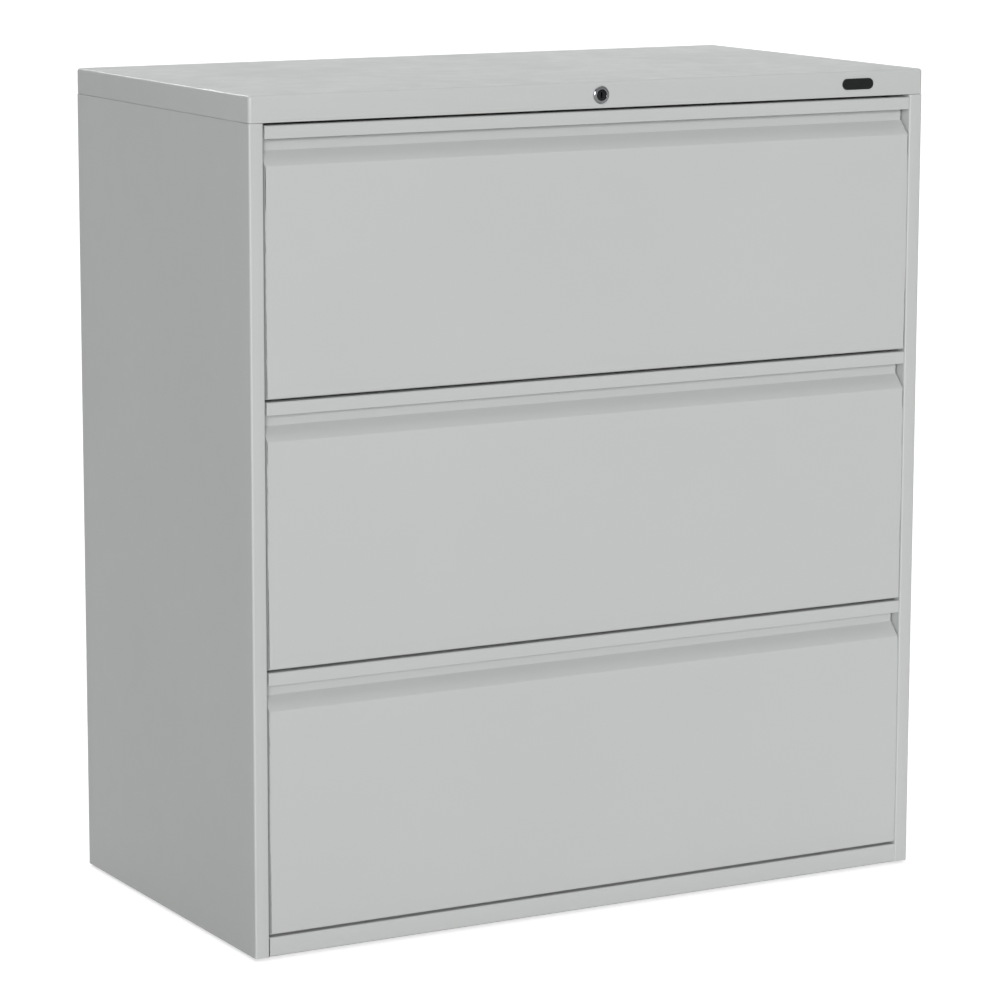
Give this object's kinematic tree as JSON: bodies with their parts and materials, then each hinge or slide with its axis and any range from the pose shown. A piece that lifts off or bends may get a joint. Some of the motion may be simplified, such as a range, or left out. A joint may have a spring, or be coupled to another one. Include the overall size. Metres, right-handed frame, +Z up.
{
  "type": "lateral filing cabinet",
  "caption": "Wide steel filing cabinet with full-width recessed drawer pulls, telescopic slides, hanging rails, a key lock with an interlock bar, and screw glides.",
  "frame": {"origin": "middle of the box's lower face, on the floor", "axes": "+Z up, the drawers open towards -Y, +X to the right seen from the front"},
  "size_m": [0.9144, 0.4852, 1.0033],
  "materials": {
    "paint": "light grey powder coat, satin, with a fine texture",
    "zinc": "bright zinc-plated steel",
    "chrome": "polished chrome",
    "black_steel": "dark raw steel",
    "black_plastic": "dark satin plastic"
  },
  "bodies": {
    "case": {"top_cap": "paint", "header_channel": "paint", "back_panel": "paint", "bottom_panel": "paint", "base_front_rail": "paint", "left_side_panel": "paint", "right_side_panel": "paint", "front_left_post": "zinc", "front_right_post": "zinc", "rear_left_post": "zinc", "rear_right_post": "zinc", "lock_nut": "zinc", "bottom_left_outer_rail": "zinc", "bottom_right_outer_rail": "zinc", "middle_left_outer_rail": "zinc", "middle_right_outer_rail": "zinc", "top_left_outer_rail": "zinc", "top_right_outer_rail": "zinc", "counterweight": "black_steel", "header_plate": "black_plastic", "lock_housing": "chrome"},
    "bottom_drawer": {"bottom_drawer_front": "paint", "bottom_drawer_tray": "paint", "bottom_front_hanging_rail": "zinc", "bottom_rear_hanging_rail": "zinc", "bottom_lock_catch": "zinc", "bottom_left_inner_rail": "zinc", "bottom_right_inner_rail": "zinc"},
    "bottom_middle_rails": {"bottom_left_middle_rail": "zinc", "bottom_right_middle_rail": "zinc"},
    "middle_drawer": {"middle_drawer_front": "paint", "middle_drawer_tray": "paint", "middle_front_hanging_rail": "zinc", "middle_rear_hanging_rail": "zinc", "middle_lock_catch": "zinc", "middle_left_inner_rail": "zinc", "middle_right_inner_rail": "zinc"},
    "middle_middle_rails": {"middle_left_middle_rail": "zinc", "middle_right_middle_rail": "zinc"},
    "top_drawer": {"top_drawer_front": "paint", "top_drawer_tray": "paint", "top_front_hanging_rail": "zinc", "top_rear_hanging_rail": "zinc", "top_lock_catch": "zinc", "top_left_inner_rail": "zinc", "top_right_inner_rail": "zinc"},
    "top_middle_rails": {"top_left_middle_rail": "zinc", "top_right_middle_rail": "zinc"},
    "lock_barrel": {"lock_plug": "chrome", "lock_cam": "zinc"},
    "lock_rod": {"lock_rod": "zinc"},
    "interlock_bar": {"interlock_bar": "zinc"},
    "front_left_glide": {"front_left_glide": "zinc"},
    "front_right_glide": {"front_right_glide": "zinc"},
    "rear_left_glide": {"rear_left_glide": "zinc"},
    "rear_right_glide": {"rear_right_glide": "zinc"}
  },
  "joints": [
    {"name": "bottom_drawer_slide", "type": "slide", "parent": "case", "child": "bottom_drawer", "axis": [0, -1, 0], "range_m": [0, 0.4]},
    {"name": "bottom_middle_rails_slide", "type": "slide", "parent": "case", "child": "bottom_middle_rails", "axis": [0, -1, 0], "range_m": [0, 0.2]},
    {"name": "middle_drawer_slide", "type": "slide", "parent": "case", "child": "middle_drawer", "axis": [0, -1, 0], "range_m": [0, 0.4]},
    {"name": "middle_middle_rails_slide", "type": "slide", "parent": "case", "child": "middle_middle_rails", "axis": [0, -1, 0], "range_m": [0, 0.2]},
    {"name": "top_drawer_slide", "type": "slide", "parent": "case", "child": "top_drawer", "axis": [0, -1, 0], "range_m": [0, 0.4]},
    {"name": "top_middle_rails_slide", "type": "slide", "parent": "case", "child": "top_middle_rails", "axis": [0, -1, 0], "range_m": [0, 0.2]},
    {"name": "lock_rod_slide", "type": "slide", "parent": "case", "child": "lock_rod", "axis": [-1, 0, 0], "range_m": [0, 0.01131]},
    {"name": "key_turn", "type": "hinge", "parent": "case", "child": "lock_barrel", "pos_m": [0, -0.24005, 0.9878], "axis": [0, 1, 0], "range_deg": [0, 91]},
    {"name": "interlock_lift", "type": "slide", "parent": "case", "child": "interlock_bar", "axis": [0, 0, 1], "range_m": [0, 0.0081]},
    {"name": "front_left_glide_turn", "type": "hinge", "parent": "case", "child": "front_left_glide", "pos_m": [-0.4002, -0.19005, 0], "axis": [0, 0, 1], "continuous": true},
    {"name": "front_right_glide_turn", "type": "hinge", "parent": "case", "child": "front_right_glide", "pos_m": [0.4002, -0.19005, 0], "axis": [0, 0, 1], "continuous": true},
    {"name": "rear_left_glide_turn", "type": "hinge", "parent": "case", "child": "rear_left_glide", "pos_m": [-0.4002, 0.19255, 0], "axis": [0, 0, 1], "continuous": true},
    {"name": "rear_right_glide_turn", "type": "hinge", "parent": "case", "child": "rear_right_glide", "pos_m": [0.4002, 0.19255, 0], "axis": [0, 0, 1], "continuous": true}
  ],
  "couplings": [
    {"joint": "bottom_middle_rails_slide", "follows": "bottom_drawer_slide", "ratio": 0.5},
    {"joint": "middle_middle_rails_slide", "follows": "middle_drawer_slide", "ratio": 0.5},
    {"joint": "top_middle_rails_slide", "follows": "top_drawer_slide", "ratio": 0.5},
    {"joint": "key_turn", "follows": "lock_rod_slide", "rad_per_m": 138.84},
    {"joint": "interlock_lift", "follows": "lock_rod_slide", "ratio": 0.70711}
  ]
}
